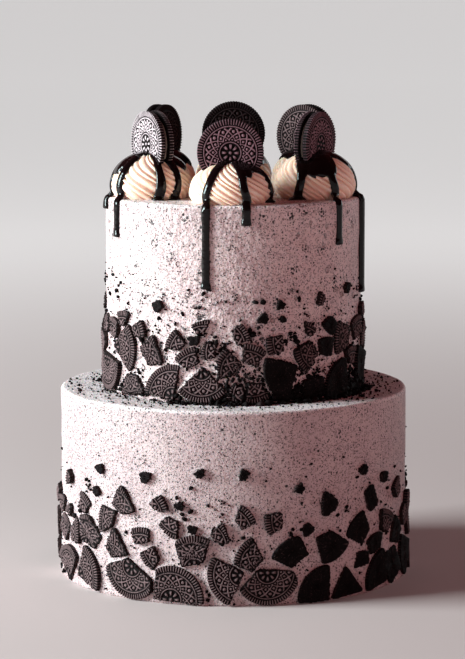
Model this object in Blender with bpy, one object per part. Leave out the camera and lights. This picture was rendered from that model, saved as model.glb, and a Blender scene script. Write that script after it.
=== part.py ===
"""Two-tier cookies and cream cake, uncut: two frosted drums, broken chocolate wafers pressed
round their feet, chocolate drips over the upper edge, and six piped swirls on top, each with a
whole sandwich cookie standing in it. Metres, +Z up, origin at the centre of the lower drum's
flat underside. Azimuths are in degrees from the front (-Y) towards +X.
"""

import math

import bmesh
import bpy
import numpy as np

MM = 0.001
CLEAR = 0.3 * MM  # gap between pieces that touch

# The two frosted drums
LOWER_RADIUS = 119 * MM
LOWER_HEIGHT = 129 * MM
UPPER_RADIUS = 87.5 * MM
UPPER_HEIGHT = 131 * MM
EDGE_ROUND = 3 * MM
EDGE_STEPS = 2
DRUM_SIDES = 64
UPPER_BASE = LOWER_HEIGHT + CLEAR
CAKE_TOP = UPPER_BASE + UPPER_HEIGHT

# The chocolate wafer that every cookie and every broken piece is made of
WAFER_RADIUS = 22.25 * MM
WAFER_THICK = 3.6 * MM
WAFER_CHAMFER = 0.9 * MM
WAFER_SIDES = 28
CREAM_RADIUS = 19.2 * MM
CREAM_THICK = 2.2 * MM
CREAM_SIDES = 20
COOKIE_THICK = 2 * WAFER_THICK + CREAM_THICK + 2 * CLEAR

# Broken pieces: a wafer snapped along straight lines. Each line is the direction, in degrees,
# and the distance in millimetres from the wafer's centre, beyond which the wafer is gone.
SNAPS = {
    "half": [(270, 1.5), (180, 12)],
    "trimmed_half": [(270, 2), (0, 10)],
    "third": [(270, 1.5), (0, 3)],
    "broad": [(245, 2), (298, 6), (180, 17)],
    "quarter": [(270, 1), (180, 2)],
    "point": [(35, 5), (145, 5), (270, 12)],
}
RIM_SIDES = 24  # of a whole wafer's rim, on a large broken piece
CHIP_RIM_SIDES = 12  # the same, on a small one
PIECE_BURIED = 4 * MM  # how deep a large piece starts before its back is hollowed to the drum
CHIP_BURIED = 1.6 * MM
CHIP_THICK = 3.8 * MM

# Large pieces near the foot of each tier: azimuth, height of the middle over the foot, turn and
# kind. The table holds the front half turn, and the back half repeats it.
LOWER_ROW = [
    (-68, 17.5, -36, "third"), (-52, 15.5, -20, "quarter"), (-35, 14.5, 172, "broad"),
    (-17, 13.5, -4, "half"), (-4, 17, 66, "third"), (11, 13.5, 200, "broad"),
    (26, 12.5, 90, "quarter"), (38.5, 12, 4, "point"), (52, 14.5, 100, "quarter"),
    (73.5, 16.5, 70, "third"),
]
UPPER_ROW = [
    (-68, 12, 172, "trimmed_half"), (-32, 14.5, 80, "quarter"), (-13.5, 8, 225, "quarter"),
    (19, 16, 75, "third"), (50, 13, 92, "quarter"), (74, 16, 72, "third"), (-52, 32.5, -45, "quarter"),
]
# Smaller chips between and above them, again one half turn: azimuth, height, size and turn
LOWER_CHIPS = [
    (63.5, 14.5, 21, 110), (86, 12.5, 21, 10), (-86, 33, 19, 70), (45, 24.5, 14, 185),
    (-53, 40, 22, -20), (-72, 36, 17, -20), (-63, 37, 17, -75), (-41, 35, 21, -60),
    (-26.5, 29.5, 14.5, 125), (-12.5, 36.5, 21, 8), (5.5, 34, 20, 58), (18, 34, 20, 32),
    (33, 38, 21, 205), (52, 32.5, 14.5, 15), (66, 35.5, 20, 60), (-44, 50.5, 18, 85),
    (-56.5, 58, 13, -30), (-66, 50, 8, 40), (-30.5, 43.5, 13, 4), (-20, 52, 14.5, 150),
    (-4, 47, 14, -62), (44.5, 44, 19, 45), (58.5, 45.5, 16, -20), (23.5, 49.5, 8.5, 215),
    (-37, 64, 18, -42), (-24, 65, 12, -60), (3, 59, 13, -52), (13, 55, 13, 100), (32, 65, 13, 85),
    (50, 64.5, 14, 120), (67, 65, 14, 30), (-66, 72, 10, 75), (-47.5, 84, 7, 20), (-49, 69, 7, 80),
    (-28.5, 82.5, 8, 0), (-17, 66, 7, 140), (80.5, 50.5, 15, 95), (-80.5, 58.5, 12, 150),
    (-13, 50.5, 7, 0), (46, 84, 7, 30), (57, 76, 8, 0), (21.5, 77, 7, 60), (3.5, 87, 7, 80),
    (-10.5, 87.5, 7, 20), (73.5, 44.5, 12, 200), (-74.5, 51.5, 12, 0), (83, 33, 16, 20),
]
UPPER_CHIPS = [
    (-49.5, 8.5, 18, 190), (1, 7, 13, 80), (9.5, 8, 14, 190), (37.5, 8.5, 18, 10),
    (-37.5, 31, 19, -60), (-2, 25, 20, 70), (-19.5, 29, 13, 30), (8, 32, 15, -20), (33.5, 30, 18, 120),
    (44, 34, 15, 0), (55.5, 38.5, 20, 80), (-10.5, 35, 11.5, 85), (69, 43.5, 15, 15), (83, 37, 17, 80),
    (-80.5, 31.5, 17, 100), (-65, 44, 14, -10), (-25, 39.5, 13, 60), (-45, 45.5, 12, -70),
    (-17, 41.5, 8, 0), (18.5, 38.5, 12.5, 100), (-56, 51.5, 12, 5), (2.5, 46, 11, -60),
    (46.5, 49.5, 11.5, 140), (-13.5, 51, 10, 10), (34, 48, 9.5, -30), (-74, 45, 12, 60),
    (78, 53.5, 11, 20), (13, 55.5, 8, 45), (-34, 63.5, 8, 120), (-85.5, 11.5, 20, 150),
    (59.5, 71.5, 7.5, 0), (21, 65, 7, 80), (62.5, 25.5, 14, 0), (41, 67.5, 8, 70),
]

# Piped swirls with a cookie in each: azimuth, distance from the cake's axis, foot radius,
# height, azimuth that the cookie faces, and height of the cookie's centre over the cake's top
SWIRLS = [
    (-2, 59.0, 28.0, 27, 0, 33.0),
    (70, 58.5, 28.0, 31, 62, 35.5),
    (123, 60.0, 24.5, 29, 143, 37.5),
    (180, 60.0, 27.0, 29, 182, 38.0),
    (-123, 60.0, 24.5, 29, -118, 37.5),
    (-70, 58.5, 28.0, 30, -60, 36.0),
]
SWIRL_RIDGES = 16
SWIRL_TWIST = 1.45  # radians that a ridge winds round from the top of a swirl to its foot
SWIRL_RIDGE_DEPTH = 0.085  # as a share of the radius
SAMPLES_PER_RIDGE = 3
# A swirl's outline from foot to top: share of its radius at each share of its height
SWIRL_OUTLINE = [(0.0, 0.88), (0.26, 1.0), (0.52, 0.93), (0.76, 0.72), (0.94, 0.36)]

# Chocolate drips down the upper tier, two below each swirl: azimuth and length below the edge
DRIPS = [
    (-79, 10), (-63, 27), (-12, 57), (5.5, 15), (53.5, 31), (80, 67),
    (112, 22), (133, 41), (171, 33), (190, 12), (-131, 47), (-113, 19),
]
DRIP_WIDTH = 6.0 * MM
DRIP_DEPTH = 4.4 * MM  # both inside and outside the frosting
DRIP_SIDES = 6
DRIP_BULB = 1.22  # how much wider a drip's end is than its stem
DRIP_NECK = 7.0  # millimetres above its end where a drip starts to widen, or less if it is short
DRIP_NECK_SHARE = 0.45
SEED = 7


def clear_scene():
    for obj in list(bpy.data.objects):
        bpy.data.objects.remove(obj)


def material(name, colour, roughness):
    made = bpy.data.materials.new(name)
    made.use_nodes = True
    shader = made.node_tree.nodes["Principled BSDF"]
    shader.inputs["Base Color"].default_value = (*colour, 1.0)
    shader.inputs["Roughness"].default_value = roughness
    shader.inputs["Metallic"].default_value = 0.0
    return made


def mesh_object(name, points, faces, finish):
    """A named object from points and faces, with its normals turned outwards."""
    mesh = bpy.data.meshes.new(name)
    mesh.from_pydata([tuple(p) for p in points], [], [tuple(f) for f in faces])
    work = bmesh.new()
    work.from_mesh(mesh)
    bmesh.ops.recalc_face_normals(work, faces=work.faces)
    work.to_mesh(mesh)
    work.free()
    mesh.materials.append(finish)
    obj = bpy.data.objects.new(name, mesh)
    bpy.context.scene.collection.objects.link(obj)
    return obj


def skin(rings):
    """Points and faces of rings of equal length joined one to the next, with both ends capped."""
    count = len(rings[0])
    points = np.concatenate(rings)
    faces = []
    for row in range(len(rings) - 1):
        for i in range(count):
            j = (i + 1) % count
            low, high = row * count, (row + 1) * count
            faces.append((low + i, low + j, high + j, high + i))
    last = (len(rings) - 1) * count
    faces.append(tuple(range(count))[::-1])
    faces.append(tuple(range(last, last + count)))
    return points, faces


def smooth(obj, angle=40):
    obj.data.shade_smooth()
    obj.data.set_sharp_from_angle(angle=math.radians(angle))


def boolean(target, others, operation):
    """One Boolean with all the others, applied; the others are then removed."""
    group = bpy.data.collections.new(target.name + "_" + operation.lower())
    bpy.context.scene.collection.children.link(group)
    for other in others:
        bpy.context.scene.collection.objects.unlink(other)
        group.objects.link(other)
    modifier = target.modifiers.new(operation.lower(), "BOOLEAN")
    modifier.operation = operation
    modifier.operand_type = "COLLECTION"
    modifier.collection = group
    modifier.solver = "EXACT"
    graph = bpy.context.evaluated_depsgraph_get()
    joined = bpy.data.meshes.new_from_object(target.evaluated_get(graph))
    target.modifiers.clear()
    target.data = joined
    for other in others:
        bpy.data.objects.remove(other)
    bpy.data.collections.remove(group)


def across(azimuth):
    """Unit vectors out of the cake, sideways along its side, and up, at an azimuth."""
    a = math.radians(azimuth)
    outward = np.array([math.sin(a), -math.cos(a), 0.0])
    sideways = np.array([math.cos(a), math.sin(a), 0.0])
    return outward, sideways, np.array([0.0, 0.0, 1.0])


# The drums

def drum(name, radius, base, height, finish):
    """A drum turned about Z, with a rounded top edge."""
    profile = [(radius, base)]
    for step in range(EDGE_STEPS + 1):
        a = math.radians(90 * step / EDGE_STEPS)
        out = radius - EDGE_ROUND * (1 - math.cos(a))
        profile.append((out, base + height - EDGE_ROUND * (1 - math.sin(a))))
    turns = np.arange(DRUM_SIDES) * 2 * math.pi / DRUM_SIDES
    rings = [
        np.stack([r * np.cos(turns), r * np.sin(turns), np.full(DRUM_SIDES, z)], 1)
        for r, z in profile
    ]
    return mesh_object(name, *skin(rings), finish)


# Broken wafer pieces

def clip(outline, direction, distance):
    """What is left of a convex outline on the near side of a break line."""
    a = math.radians(direction)
    beyond = outline @ np.array([math.cos(a), math.sin(a)]) - distance
    kept = []
    for i in range(len(outline)):
        j = (i + 1) % len(outline)
        if beyond[i] <= 0:
            kept.append(outline[i])
        if (beyond[i] < 0) != (beyond[j] < 0):
            share = beyond[i] / (beyond[i] - beyond[j])
            kept.append(outline[i] + share * (outline[j] - outline[i]))
    return np.array(kept)


def snapped(lines, rim_sides):
    """The outline of a wafer snapped along break lines, about the wafer's own centre."""
    turns = (np.arange(rim_sides) + 0.5) * 2 * math.pi / rim_sides
    outline = WAFER_RADIUS * np.stack([np.cos(turns), np.sin(turns)], 1)
    for direction, distance in lines:
        outline = clip(outline, direction, distance * MM)
    return outline


def chip_lines(rng, size):
    """Break lines of a small chip of about this size in millimetres, snapped off the rim: one
    line across the wafer, and one down each side that leans in towards the wafer's centre."""
    inner = WAFER_RADIUS / MM - size * rng.uniform(0.85, 1.0)
    middle = inner + size / 2
    half_width = size * rng.uniform(0.42, 0.56)
    lines = [(270 + rng.uniform(-14, 14), -inner)]
    for side in (0, 180):
        lean = math.radians(rng.uniform(2, 34))
        direction = side - math.degrees(lean) * (1 if side == 0 else -1)
        lines.append((direction, half_width * math.cos(lean) - middle * math.sin(lean)))
    if rng.random() < 0.4:  # these lose their rim too
        lines.append((90 + rng.uniform(-25, 25), inner + 0.75 * size))
    return lines


def centred(outline, turn):
    """The outline moved to its middle and turned."""
    a = math.radians(turn)
    spin = np.array([[math.cos(a), -math.sin(a)], [math.sin(a), math.cos(a)]])
    return (outline - (outline.min(0) + outline.max(0)) / 2) @ spin.T


def lay_out(row, chips, seed):
    """Every broken piece of a tier: azimuth, height over the tier's foot, outline and whether it
    is large. Each half turn has its large row first, then its chips."""
    rng = np.random.default_rng(seed)
    shapes = []
    for azimuth, above, turn, kind in row:
        outline = centred(snapped(SNAPS[kind], RIM_SIDES), turn)
        shapes.append((azimuth, above * MM, outline, True))
    for azimuth, above, size, turn in chips:
        outline = centred(snapped(chip_lines(rng, size), CHIP_RIM_SIDES), turn)
        shapes.append((azimuth, above * MM, outline, False))
    return [(half + azimuth, *rest) for half in (0, 180) for azimuth, *rest in shapes]


def plate(name, outline, radius, azimuth, height, inner, outer, finish):
    """A flat plate with this outline, square to the side of the tier, between two depths."""
    outward, sideways, up = across(azimuth)
    flat = outline[:, :1] * sideways + (outline[:, 1:] + height) * up
    return mesh_object(name, *skin([flat + outward * (radius + d) for d in (inner, outer)]), finish)


def broken_pieces(tier, radius, base, height, row, chips, seed, finish):
    """Large pieces as objects of their own with hollowed backs, and chips fused to the drum."""
    fused, number = [], 0
    for azimuth, above, outline, large in lay_out(row, chips, seed):
        if not large:
            name = f"{tier}_chip"
            thick = (-CHIP_BURIED, CHIP_THICK)
            fused.append(plate(name, outline, radius, azimuth, base + above, *thick, finish))
            continue
        number += 1
        depths = (-PIECE_BURIED, CLEAR + WAFER_THICK)
        name = f"{tier}_piece_{number:02d}"
        piece = plate(name, outline, radius, azimuth, base + above, *depths, finish)
        hollow = drum("hollow", radius + CLEAR, base - EDGE_ROUND, height + 2 * EDGE_ROUND, finish)
        boolean(piece, [hollow], "DIFFERENCE")
    return fused


# The chocolate drips

def drip(azimuth, length, finish):
    """A flattened tube from just inside the upper edge, over it and down the side, with a
    rounded end. Each station is how far out and how high its middle is, its width and its
    depth, as shares of a whole drip's."""
    outward, sideways, up = across(azimuth)
    edge, top = UPPER_RADIUS, CAKE_TOP
    end = top - length * MM
    neck = end + min(DRIP_NECK, DRIP_NECK_SHARE * length) * MM
    stations = [
        (edge - 3.2 * MM, top - 0.9 * MM, 0.6, 0.5),
        (edge - 1.6 * MM, top - 1.2 * MM, 1.1, 0.8),
        (edge - 0.2 * MM, top - 3.4 * MM, 1.0, 1.0),
        (edge, neck, 0.86, 0.9),
        (edge, end + 2 * MM, DRIP_BULB, 1.15),
        (edge, end, 0.55, 0.5),
    ]
    along = np.gradient(np.array([s[:2] for s in stations]), axis=0)
    turns = np.arange(DRIP_SIDES) * 2 * math.pi / DRIP_SIDES
    rings = []
    for (out, z, wide, deep), (forward, rise) in zip(stations, along):
        length_of = math.hypot(forward, rise)
        away = (outward * -rise + up * forward) / length_of
        across_it = np.outer(np.cos(turns) * wide * DRIP_WIDTH / 2, sideways)
        out_of_it = np.outer(np.sin(turns) * deep * DRIP_DEPTH / 2, away)
        rings.append(outward * out + up * z + across_it + out_of_it)
    return mesh_object("drip", *skin(rings), finish)


# The cookies and the swirls

def place(points, azimuth_of_spot, distance, facing, height):
    """Points about a cookie's or a swirl's own centre, turned to face an azimuth and moved
    to its spot on the cake. Local axes are sideways, towards the face, and up."""
    outward, _, up = across(azimuth_of_spot)
    face, side, _ = across(facing)
    spot = outward * distance + up * height
    return spot + points[:, :1] * side + points[:, 1:2] * face + points[:, 2:] * up


def disc(name, stations, sides, at, finish):
    """A round layer: rings of these radii at these places along the cookie's own axis."""
    turns = (np.arange(sides) + 0.5) * 2 * math.pi / sides
    rings = []
    for radius, along in stations:
        ring = np.stack([radius * np.cos(turns), np.full(sides, along), radius * np.sin(turns)], 1)
        rings.append(place(ring, *at))
    obj = mesh_object(name, *skin(rings), finish)
    smooth(obj)
    return obj


def cookie(number, at, wafer_finish, cream_finish):
    """Two wafers with their patterned faces outwards and a smaller disc of cream between."""
    half_cream = CREAM_THICK / 2
    inner = half_cream + CLEAR
    outer = inner + WAFER_THICK
    for side, name in ((1, "face"), (-1, "back")):
        stations = [
            (WAFER_RADIUS, side * inner),
            (WAFER_RADIUS, side * (outer - WAFER_CHAMFER)),
            (WAFER_RADIUS - WAFER_CHAMFER, side * outer),
        ]
        disc(f"cookie_{number}_{name}_wafer", stations, WAFER_SIDES, at, wafer_finish)
    stations = [(CREAM_RADIUS, -half_cream), (CREAM_RADIUS, half_cream)]
    disc(f"cookie_{number}_cream", stations, CREAM_SIDES, at, cream_finish)


def swirl(number, azimuth, distance, radius, height, finish):
    """A piped mound with ridges that wind down it: at each height the radius is the outline's,
    less a groove that is one less the absolute cosine of the ridge angle, so crests are round."""
    columns = SWIRL_RIDGES * SAMPLES_PER_RIDGE
    turns = np.arange(columns) * 2 * math.pi / columns
    rings = []
    for share, wide in SWIRL_OUTLINE:
        wound = turns + SWIRL_TWIST * (share - 1)
        groove = 1 - np.abs(np.cos(SWIRL_RIDGES * turns / 2))
        reach = radius * wide * (1 - SWIRL_RIDGE_DEPTH * 2 * groove)
        z = np.full(columns, share * height)
        ring = np.stack([reach * np.sin(-wound), reach * np.cos(wound), z], 1)
        rings.append(place(ring, azimuth, distance, 0, CAKE_TOP + CLEAR))
    return mesh_object(f"swirl_{number}", *skin(rings), finish)


def topping(number, spot, cream_finish, wafer_finish, filling_finish):
    """A swirl with a slot cut for its cookie, and the cookie."""
    azimuth, distance, radius, height, facing, cookie_height = spot
    mound = swirl(number, azimuth, distance * MM, radius * MM, height * MM, cream_finish)
    at = (azimuth, distance * MM, facing, CAKE_TOP + cookie_height * MM)
    reach = COOKIE_THICK / 2 + CLEAR
    room = WAFER_RADIUS + CLEAR
    slot = disc("slot", [(room, -reach), (room, reach)], WAFER_SIDES, at, cream_finish)
    boolean(mound, [slot], "DIFFERENCE")
    smooth(mound, 50)
    cookie(number, at, wafer_finish, filling_finish)


def main():
    clear_scene()
    frosting = material("speckled_frosting", (0.56, 0.42, 0.42), 0.6)
    piped = material("piped_cream", (0.84, 0.64, 0.51), 0.5)
    wafer = material("chocolate_wafer", (0.035, 0.02, 0.022), 0.75)
    filling = material("cookie_cream", (0.46, 0.39, 0.34), 0.6)
    chocolate = material("dark_chocolate", (0.006, 0.003, 0.003), 0.2)

    lower = drum("lower_tier", LOWER_RADIUS, 0.0, LOWER_HEIGHT, frosting)
    tier = ("lower", LOWER_RADIUS, 0.0, LOWER_HEIGHT, LOWER_ROW, LOWER_CHIPS, SEED)
    boolean(lower, broken_pieces(*tier, wafer), "UNION")
    smooth(lower)

    upper = drum("upper_tier", UPPER_RADIUS, UPPER_BASE, UPPER_HEIGHT, frosting)
    tier = ("upper", UPPER_RADIUS, UPPER_BASE, UPPER_HEIGHT, UPPER_ROW, UPPER_CHIPS, SEED + 1)
    fused = broken_pieces(*tier, wafer)
    fused += [drip(azimuth, length, chocolate) for azimuth, length in DRIPS]
    boolean(upper, fused, "UNION")
    smooth(upper)

    for number, spot in enumerate(SWIRLS, 1):
        topping(number, spot, piped, wafer, filling)


main()
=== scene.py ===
"""Looks for the two-tier cookies and cream cake, in the same frame as its solids: metres, +Z up.
The cake's own sizes are in millimetres, and its azimuths in degrees from the front (-Y) towards
+X. The studio's sizes are in metres.
"""

import math

import bpy
import numpy as np
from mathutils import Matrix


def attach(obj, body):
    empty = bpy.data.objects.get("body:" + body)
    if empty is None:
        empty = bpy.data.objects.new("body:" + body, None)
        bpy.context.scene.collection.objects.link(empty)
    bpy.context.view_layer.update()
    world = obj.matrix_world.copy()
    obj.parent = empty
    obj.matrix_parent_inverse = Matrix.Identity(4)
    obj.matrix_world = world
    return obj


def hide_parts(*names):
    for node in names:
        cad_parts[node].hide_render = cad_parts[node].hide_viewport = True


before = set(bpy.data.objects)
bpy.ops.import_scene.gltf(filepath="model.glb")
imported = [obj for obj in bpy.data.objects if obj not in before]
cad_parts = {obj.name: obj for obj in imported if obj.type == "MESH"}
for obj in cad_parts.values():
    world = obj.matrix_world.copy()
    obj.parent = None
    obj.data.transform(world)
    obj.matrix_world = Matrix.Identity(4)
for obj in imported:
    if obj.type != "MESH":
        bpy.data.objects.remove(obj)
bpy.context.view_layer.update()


# Where the broken wafers are pressed in
# Baked chocolate wafers, snapped by hand along straight lines. Large ones stand in a row round
# the foot of each tier, and smaller chips are pressed into the frosting above them.

MM = 0.001
WAFER_RADIUS = 22.25
# The break lines of each kind of large piece: direction in degrees, and distance from the centre
SNAPS = {
    "half": [(270, 1.5), (180, 12)],
    "trimmed_half": [(270, 2), (0, 10)],
    "third": [(270, 1.5), (0, 3)],
    "broad": [(245, 2), (298, 6), (180, 17)],
    "quarter": [(270, 1), (180, 2)],
    "point": [(35, 5), (145, 5), (270, 12)],
}
RIM_SIDES = 24
CHIP_RIM_SIDES = 12
# A chip's depth from the rim and half its width as shares of its size, how far its breaks slant
# and its sides lean in, and how often its rim is snapped off too, at which share of its size
CHIP_DEPTHS = (0.85, 1.0)
CHIP_HALF_WIDTHS = (0.42, 0.56)
BREAK_SLANT = 14
SIDE_LEANS = (2, 34)
RIMLESS_CHIPS = 0.4
RIMLESS_SLANT = 25
RIMLESS_AT = 0.75
# The front half turn of each tier, which the back half repeats: azimuth, height of the middle
# over the tier's foot, turn and kind of each large piece, and azimuth, height, size and turn of
# each chip
LOWER_ROW = [
    (-68, 17.5, -36, "third"), (-52, 15.5, -20, "quarter"), (-35, 14.5, 172, "broad"),
    (-17, 13.5, -4, "half"), (-4, 17, 66, "third"), (11, 13.5, 200, "broad"),
    (26, 12.5, 90, "quarter"), (38.5, 12, 4, "point"), (52, 14.5, 100, "quarter"),
    (73.5, 16.5, 70, "third"),
]
UPPER_ROW = [
    (-68, 12, 172, "trimmed_half"), (-32, 14.5, 80, "quarter"), (-13.5, 8, 225, "quarter"),
    (19, 16, 75, "third"), (50, 13, 92, "quarter"), (74, 16, 72, "third"), (-52, 32.5, -45, "quarter"),
]
LOWER_CHIPS = [
    (63.5, 14.5, 21, 110), (86, 12.5, 21, 10), (-86, 33, 19, 70), (45, 24.5, 14, 185),
    (-53, 40, 22, -20), (-72, 36, 17, -20), (-63, 37, 17, -75), (-41, 35, 21, -60),
    (-26.5, 29.5, 14.5, 125), (-12.5, 36.5, 21, 8), (5.5, 34, 20, 58), (18, 34, 20, 32),
    (33, 38, 21, 205), (52, 32.5, 14.5, 15), (66, 35.5, 20, 60), (-44, 50.5, 18, 85),
    (-56.5, 58, 13, -30), (-66, 50, 8, 40), (-30.5, 43.5, 13, 4), (-20, 52, 14.5, 150),
    (-4, 47, 14, -62), (44.5, 44, 19, 45), (58.5, 45.5, 16, -20), (23.5, 49.5, 8.5, 215),
    (-37, 64, 18, -42), (-24, 65, 12, -60), (3, 59, 13, -52), (13, 55, 13, 100), (32, 65, 13, 85),
    (50, 64.5, 14, 120), (67, 65, 14, 30), (-66, 72, 10, 75), (-47.5, 84, 7, 20), (-49, 69, 7, 80),
    (-28.5, 82.5, 8, 0), (-17, 66, 7, 140), (80.5, 50.5, 15, 95), (-80.5, 58.5, 12, 150),
    (-13, 50.5, 7, 0), (46, 84, 7, 30), (57, 76, 8, 0), (21.5, 77, 7, 60), (3.5, 87, 7, 80),
    (-10.5, 87.5, 7, 20), (73.5, 44.5, 12, 200), (-74.5, 51.5, 12, 0), (83, 33, 16, 20),
]
UPPER_CHIPS = [
    (-49.5, 8.5, 18, 190), (1, 7, 13, 80), (9.5, 8, 14, 190), (37.5, 8.5, 18, 10),
    (-37.5, 31, 19, -60), (-2, 25, 20, 70), (-19.5, 29, 13, 30), (8, 32, 15, -20), (33.5, 30, 18, 120),
    (44, 34, 15, 0), (55.5, 38.5, 20, 80), (-10.5, 35, 11.5, 85), (69, 43.5, 15, 15), (83, 37, 17, 80),
    (-80.5, 31.5, 17, 100), (-65, 44, 14, -10), (-25, 39.5, 13, 60), (-45, 45.5, 12, -70),
    (-17, 41.5, 8, 0), (18.5, 38.5, 12.5, 100), (-56, 51.5, 12, 5), (2.5, 46, 11, -60),
    (46.5, 49.5, 11.5, 140), (-13.5, 51, 10, 10), (34, 48, 9.5, -30), (-74, 45, 12, 60),
    (78, 53.5, 11, 20), (13, 55.5, 8, 45), (-34, 63.5, 8, 120), (-85.5, 11.5, 20, 150),
    (59.5, 71.5, 7.5, 0), (21, 65, 7, 80), (62.5, 25.5, 14, 0), (41, 67.5, 8, 70),
]
SEED = 7


def gridded(*parts):
    """Coordinates side by side in the last axis, each spread over the grid of all of them."""
    return np.stack(np.broadcast_arrays(*parts), -1)


def round_turn(count):
    """The angles in radians of so many evenly spaced places round a circle."""
    return np.arange(count) * 2 * math.pi / count


def clip(outline, direction, distance):
    """What is left of a convex outline on the near side of a break line."""
    a = math.radians(direction)
    beyond = outline @ np.array([math.cos(a), math.sin(a)]) - distance
    kept = []
    for i in range(len(outline)):
        j = (i + 1) % len(outline)
        if beyond[i] <= 0:
            kept.append(outline[i])
        if (beyond[i] < 0) != (beyond[j] < 0):
            share = beyond[i] / (beyond[i] - beyond[j])
            kept.append(outline[i] + share * (outline[j] - outline[i]))
    return np.array(kept)


def chip_lines(rng, size):
    """Break lines of a small chip of about this size, snapped off the rim: one line across the
    wafer, and one down each side that leans in towards the wafer's centre."""
    inner = WAFER_RADIUS - size * rng.uniform(*CHIP_DEPTHS)
    middle = inner + size / 2
    half_width = size * rng.uniform(*CHIP_HALF_WIDTHS)
    lines = [(270 + rng.uniform(-BREAK_SLANT, BREAK_SLANT), -inner)]
    for side in (0, 180):
        lean = math.radians(rng.uniform(*SIDE_LEANS))
        direction = side - math.degrees(lean) * (1 if side == 0 else -1)
        lines.append((direction, half_width * math.cos(lean) - middle * math.sin(lean)))
    if rng.random() < RIMLESS_CHIPS:
        lines.append((90 + rng.uniform(-RIMLESS_SLANT, RIMLESS_SLANT), inner + RIMLESS_AT * size))
    return lines


def snapped(lines, rim_sides, turn):
    """A wafer snapped along break lines and turned, as a coarse outline about its own middle,
    with where the wafer's centre is then."""
    turns = (np.arange(rim_sides) + 0.5) * 2 * math.pi / rim_sides
    outline = WAFER_RADIUS * gridded(np.cos(turns), np.sin(turns))
    for direction, distance in lines:
        outline = clip(outline, direction, distance)
    middle = (outline.min(0) + outline.max(0)) / 2
    a = math.radians(turn)
    spin = np.array([[math.cos(a), -math.sin(a)], [math.sin(a), math.cos(a)]])
    return (outline - middle) @ spin.T, spin @ -middle


def lay_out(row, chips, seed):
    """Every broken piece of a tier: azimuth, height over the tier's foot, its break lines, its
    turn, where its wafer's centre is, its coarse outline, and whether it is large."""
    rng = np.random.default_rng(seed)
    shapes = []
    for azimuth, above, turn, kind in row:
        outline, centre = snapped(SNAPS[kind], RIM_SIDES, turn)
        shapes.append((azimuth, above, SNAPS[kind], turn, centre, outline, True))
    for azimuth, above, size, turn in chips:
        lines = chip_lines(rng, size)
        outline, centre = snapped(lines, CHIP_RIM_SIDES, turn)
        shapes.append((azimuth, above, lines, turn, centre, outline, False))
    return [(half + azimuth, *rest) for half in (0, 180) for azimuth, *rest in shapes]


# The frosted tiers
# Two uncut layer cakes, one on the other, coated in cookies and cream buttercream: whipped white
# frosting full of fine cookie dust, scraped nearly smooth, and squeezed up round each wafer.

LOWER_RADIUS = 119.0
LOWER_HEIGHT = 129.0
UPPER_RADIUS = 87.5
UPPER_HEIGHT = 131.0
CLEAR = 0.3
UPPER_BASE = LOWER_HEIGHT + CLEAR
CAKE_TOP = UPPER_BASE + UPPER_HEIGHT
EDGE_ROUND = 2.6
BEND_STEPS = 8
SIDE_STEP = 1.25
TOP_STEP = 2.0
SCRAPER_WAVES = 26
WAVE_DEPTH = 0.42
WAVE_LENGTH = 16.0
WAVE_INSET = 0.25
CALM_FOOT = 6.0
TOP_RISE = 0.8
LIP_HEIGHT = 0.75
LIP_WIDTH = 1.5
LIP_START = 0.3
# Round a large piece and round a chip: the share of the lip, and of the gap behind the flat back
LARGE_LIP = (0.8, 0.8)
CHIP_LIP = (0.55, 0.6)
PIECE_REACH = 32.0
# A fan closes each top's middle, out to this radius: the lower one's is under the upper tier
LOWER_FAN = 40.0
UPPER_FAN = 3.0
# The frosting's two colours on each tier, a paler colour on a top as painted light, and the dust in it
# Painted shade: the lower tier's pair is the upper tier's buttercream made darker
SHADED_LOWER_CREAM = ((0.49, 0.34, 0.348), (0.565, 0.415, 0.418))
UPPER_CREAM = ((0.59, 0.415, 0.42), (0.68, 0.505, 0.505))
PAINTED_TOP_LIGHT = (0.86, 0.72, 0.73)
COOKIE_DUST = (0.022, 0.010, 0.012)
# How dusty the frosting is at the foot, on the top and on a lip, and up to which height
DUSTY_FOOT = 1.25
DUSTY_TOP = 0.8
DUSTY_LIP = 0.35
CRUMB_BAND = 62.0


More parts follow.
